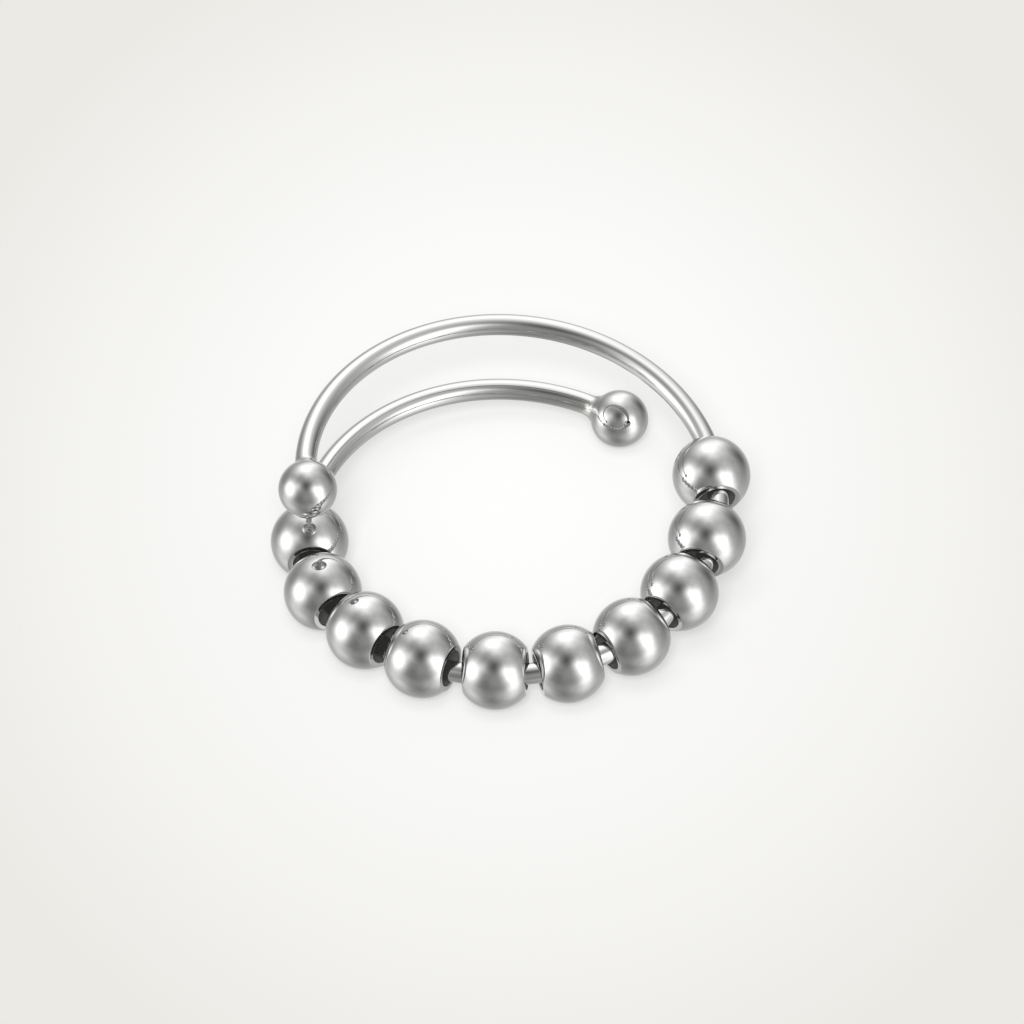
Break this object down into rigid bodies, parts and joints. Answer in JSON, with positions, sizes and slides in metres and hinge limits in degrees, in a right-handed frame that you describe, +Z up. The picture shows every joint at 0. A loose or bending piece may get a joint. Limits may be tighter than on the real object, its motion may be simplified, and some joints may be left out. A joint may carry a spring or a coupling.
{
  "type": "spinner ring",
  "caption": "Open finger ring of round steel wire, wound once and a third round, with a ball on each end and loose polished beads that spin on its front half.",
  "frame": {"origin": "on the surface that the ring lies on, under the middle of the coil; the box's bottom centre is 0.5 mm in front of it", "axes": "+Z up from the surface; +Y towards the back, where the wire is bare; the beads are in front, towards -Y; the coil's own axis leans 7.8 degrees from +Z towards -Y"},
  "size_m": [0.0244, 0.0235, 0.0085],
  "materials": {
    "wire_steel": "drawn stainless steel wire, polished, with balls soldered on",
    "bead_steel": "mirror polished stainless steel"
  },
  "bodies": {
    "wire": {"wire": "wire_steel"},
    "bead_01": {"bead_01": "bead_steel"},
    "bead_02": {"bead_02": "bead_steel"},
    "bead_03": {"bead_03": "bead_steel"},
    "bead_04": {"bead_04": "bead_steel"},
    "bead_05": {"bead_05": "bead_steel"},
    "bead_06": {"bead_06": "bead_steel"},
    "bead_07": {"bead_07": "bead_steel"},
    "bead_08": {"bead_08": "bead_steel"},
    "bead_09": {"bead_09": "bead_steel"},
    "bead_10": {"bead_10": "bead_steel"}
  },
  "joints": [
    {"name": "bead_01_spin", "type": "hinge", "parent": "wire", "child": "bead_01", "pos_m": [-0.01031, -0.00062, 0.002], "axis": [0.0765, -0.9954, -0.0578], "continuous": true},
    {"name": "bead_02_spin", "type": "hinge", "parent": "wire", "child": "bead_02", "pos_m": [-0.00959, -0.00438, 0.002], "axis": [0.4248, -0.9042, -0.0452], "continuous": true},
    {"name": "bead_03_spin", "type": "hinge", "parent": "wire", "child": "bead_03", "pos_m": [-0.00743, -0.00723, 0.002], "axis": [0.7009, -0.713, -0.019], "continuous": true},
    {"name": "bead_04_spin", "type": "hinge", "parent": "wire", "child": "bead_04", "pos_m": [-0.00451, -0.00933, 0.002], "axis": [0.899, -0.4376, 0.0188], "continuous": true},
    {"name": "bead_05_spin", "type": "hinge", "parent": "wire", "child": "bead_05", "pos_m": [-0.00085, -0.01017, 0.002], "axis": [0.9935, -0.0923, 0.0662], "continuous": true},
    {"name": "bead_06_spin", "type": "hinge", "parent": "wire", "child": "bead_06", "pos_m": [0.00279, -0.00968, 0.002], "axis": [0.9586, 0.2605, 0.1147], "continuous": true},
    {"name": "bead_07_spin", "type": "hinge", "parent": "wire", "child": "bead_07", "pos_m": [0.006, -0.00818, 0.00245], "axis": [0.8051, 0.5718, 0.1574], "continuous": true},
    {"name": "bead_08_spin", "type": "hinge", "parent": "wire", "child": "bead_08", "pos_m": [0.00843, -0.00564, 0.00316], "axis": [0.5521, 0.8117, 0.1904], "continuous": true},
    {"name": "bead_09_spin", "type": "hinge", "parent": "wire", "child": "bead_09", "pos_m": [0.00985, -0.00244, 0.00389], "axis": [0.2301, 0.9504, 0.2094], "continuous": true},
    {"name": "bead_10_spin", "type": "hinge", "parent": "wire", "child": "bead_10", "pos_m": [0.01013, 0.00152, 0.00462], "axis": [-0.1632, 0.9637, 0.2113], "continuous": true}
  ]
}
